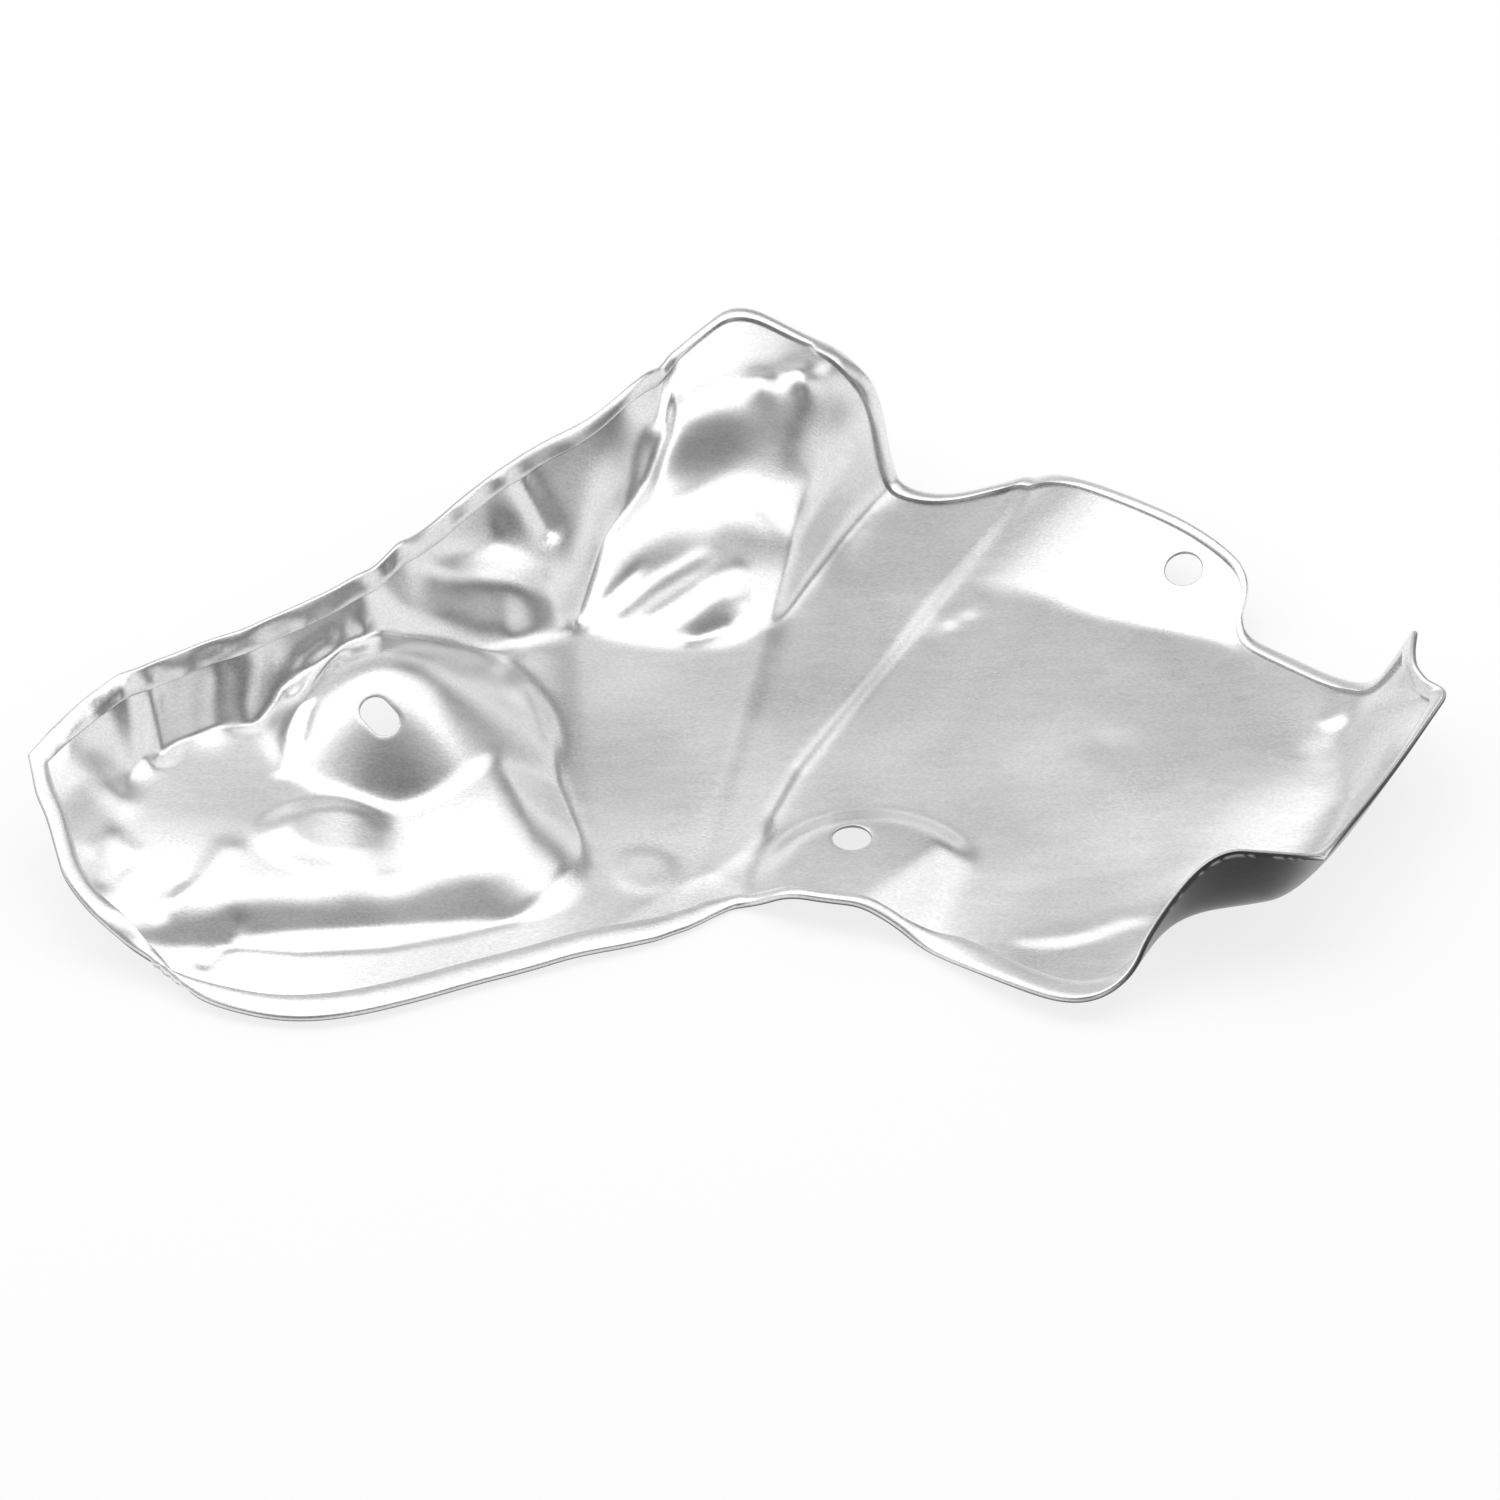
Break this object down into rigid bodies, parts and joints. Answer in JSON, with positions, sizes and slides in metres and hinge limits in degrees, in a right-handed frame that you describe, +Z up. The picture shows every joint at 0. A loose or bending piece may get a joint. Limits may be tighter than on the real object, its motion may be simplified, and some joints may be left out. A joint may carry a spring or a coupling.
{
  "type": "exhaust heat shield",
  "caption": "Pressed aluminium exhaust heat shield: a hollow tray with a tall wall, a tilted ear, bosses, a folded hem and fixing holes.",
  "frame": {"origin": "centre of the bounding box, on the surface that the shield rests on", "axes": "+X along the shield towards its right end, +Y from the front edge to the back rim, +Z up, on the hollow side that faces the exhaust"},
  "size_m": [0.3262, 0.2142, 0.0405],
  "materials": {
    "aluminium_sheet": "bare satin rolled sheet"
  },
  "bodies": {
    "root": {"heat_shield": "aluminium_sheet"}
  },
  "joints": []
}
